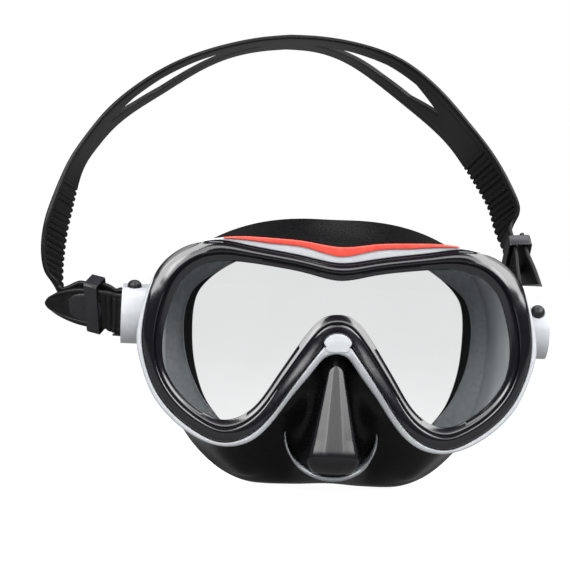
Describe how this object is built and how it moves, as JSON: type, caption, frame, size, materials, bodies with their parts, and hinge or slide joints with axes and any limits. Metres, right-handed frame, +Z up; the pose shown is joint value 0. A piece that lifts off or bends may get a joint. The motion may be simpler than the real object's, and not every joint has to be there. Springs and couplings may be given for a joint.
{
  "type": "diving mask",
  "caption": "Diving mask with a flat glass lens, black bezel, white frame, silicone skirt with nose pocket, swivelling strap housings and a split head strap.",
  "frame": {"origin": "centre of the skirt's face opening, in the plane where it seals against the face", "axes": "+Z up, -Y out through the lens to the front, +X to the right of the front view"},
  "size_m": [0.2169, 0.099, 0.1968],
  "materials": {
    "glass": "clear polished",
    "bezel_black": "gloss",
    "frame_white": "pearl satin",
    "accent_coral": "satin",
    "silicone_black": "satin silicone",
    "strap_black": "satin silicone",
    "button_rubber": "satin",
    "buckle_black": "satin moulded",
    "pin_steel": "brushed"
  },
  "bodies": {
    "mask": {"lens": "glass", "front_bezel": "bezel_black", "main_frame": "frame_white", "accent_trim": "accent_coral", "bridge_clip": "frame_white", "skirt": "silicone_black", "left_pivot_pin": "pin_steel", "right_pivot_pin": "pin_steel"},
    "harness": {"strap_arch": "strap_black", "left_housing": "frame_white", "left_buckle_pin": "pin_steel", "left_pawl_pin": "pin_steel", "left_button_spring": "pin_steel", "right_housing": "frame_white", "right_buckle_pin": "pin_steel", "right_pawl_pin": "pin_steel", "right_button_spring": "pin_steel"},
    "left_button": {"left_button": "button_rubber"},
    "left_pawl": {"left_pawl": "buckle_black"},
    "left_buckle": {"left_buckle": "buckle_black", "left_strap_end": "strap_black"},
    "left_roller": {"left_roller": "buckle_black"},
    "left_keeper": {"left_keeper": "strap_black"},
    "right_button": {"right_button": "button_rubber"},
    "right_pawl": {"right_pawl": "buckle_black"},
    "right_buckle": {"right_buckle": "buckle_black", "right_strap_end": "strap_black"},
    "right_roller": {"right_roller": "buckle_black"},
    "right_keeper": {"right_keeper": "strap_black"}
  },
  "joints": [
    {"name": "harness_tilt", "type": "hinge", "parent": "mask", "child": "harness", "pos_m": [0, -0.034, 0.0085], "axis": [1, 0, 0], "range_deg": [-85, 15]},
    {"name": "left_button_press", "type": "slide", "parent": "harness", "child": "left_button", "axis": [0, 0.0872, -0.9962], "range_m": [0, 0.0016], "stiffness_N_per_m": 500, "springref_m": -0.0008},
    {"name": "left_pawl_release", "type": "hinge", "parent": "harness", "child": "left_pawl", "pos_m": [-0.086, -0.03105, 0.00113], "axis": [1, 0, 0], "range_deg": [0, 4.1]},
    {"name": "left_buckle_swing", "type": "hinge", "parent": "harness", "child": "left_buckle", "pos_m": [-0.085, -0.02454, 0.00933], "axis": [0, -0.0872, 0.9962], "range_deg": [-70, 5]},
    {"name": "left_roller_turn", "type": "hinge", "parent": "left_buckle", "child": "left_roller", "pos_m": [-0.085, -0.02454, 0.00933], "axis": [0, -0.0872, 0.9962], "continuous": true},
    {"name": "left_keeper_slide", "type": "slide", "parent": "left_buckle", "child": "left_keeper", "axis": [-0.9685, 0.2356, 0.0809], "range_m": [-0.0015, 0.0015]},
    {"name": "right_button_press", "type": "slide", "parent": "harness", "child": "right_button", "axis": [0, 0.7314, -0.682], "range_m": [0, 0.0016], "stiffness_N_per_m": 500, "springref_m": -0.0008},
    {"name": "right_pawl_release", "type": "hinge", "parent": "harness", "child": "right_pawl", "pos_m": [0.086, -0.02687, 0.005], "axis": [1, 0, 0], "range_deg": [0, 4.1]},
    {"name": "right_buckle_swing", "type": "hinge", "parent": "harness", "child": "right_buckle", "pos_m": [0.085, -0.02752, 0.01545], "axis": [0, -0.7314, 0.682], "range_deg": [-60, 3]},
    {"name": "right_roller_turn", "type": "hinge", "parent": "right_buckle", "child": "right_roller", "pos_m": [0.085, -0.02752, 0.01545], "axis": [0, -0.7314, 0.682], "continuous": true},
    {"name": "right_keeper_slide", "type": "slide", "parent": "right_buckle", "child": "right_keeper", "axis": [-0.105, 0.6778, 0.7277], "range_m": [-0.0015, 0.0015]}
  ],
  "couplings": [
    {"joint": "left_pawl_release", "follows": "left_button_press", "rad_per_m": 43.6},
    {"joint": "right_pawl_release", "follows": "right_button_press", "rad_per_m": 43.6}
  ]
}
